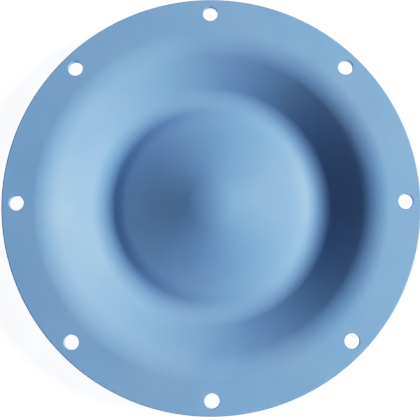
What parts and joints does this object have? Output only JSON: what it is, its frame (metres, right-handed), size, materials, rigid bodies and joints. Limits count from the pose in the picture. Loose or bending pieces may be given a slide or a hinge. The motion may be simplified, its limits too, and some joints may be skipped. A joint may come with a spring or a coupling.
{
  "type": "pump diaphragm",
  "caption": "Round moulded elastomer diaphragm with a flat bolting flange, one ring-shaped convolution and a shallow conical middle, which seals and flexes in a pump.",
  "frame": {"origin": "centre of the part's foot, in the plane that the underside of the convolution stands on", "axes": "+Z along the diaphragm's axis, from the convolution's underside towards the flange; +X through one bolt hole"},
  "size_m": [0.2, 0.2, 0.019],
  "materials": {
    "sheet": "smooth matte light blue moulded elastomer"
  },
  "bodies": {
    "root": {"diaphragm": "sheet"}
  },
  "joints": []
}
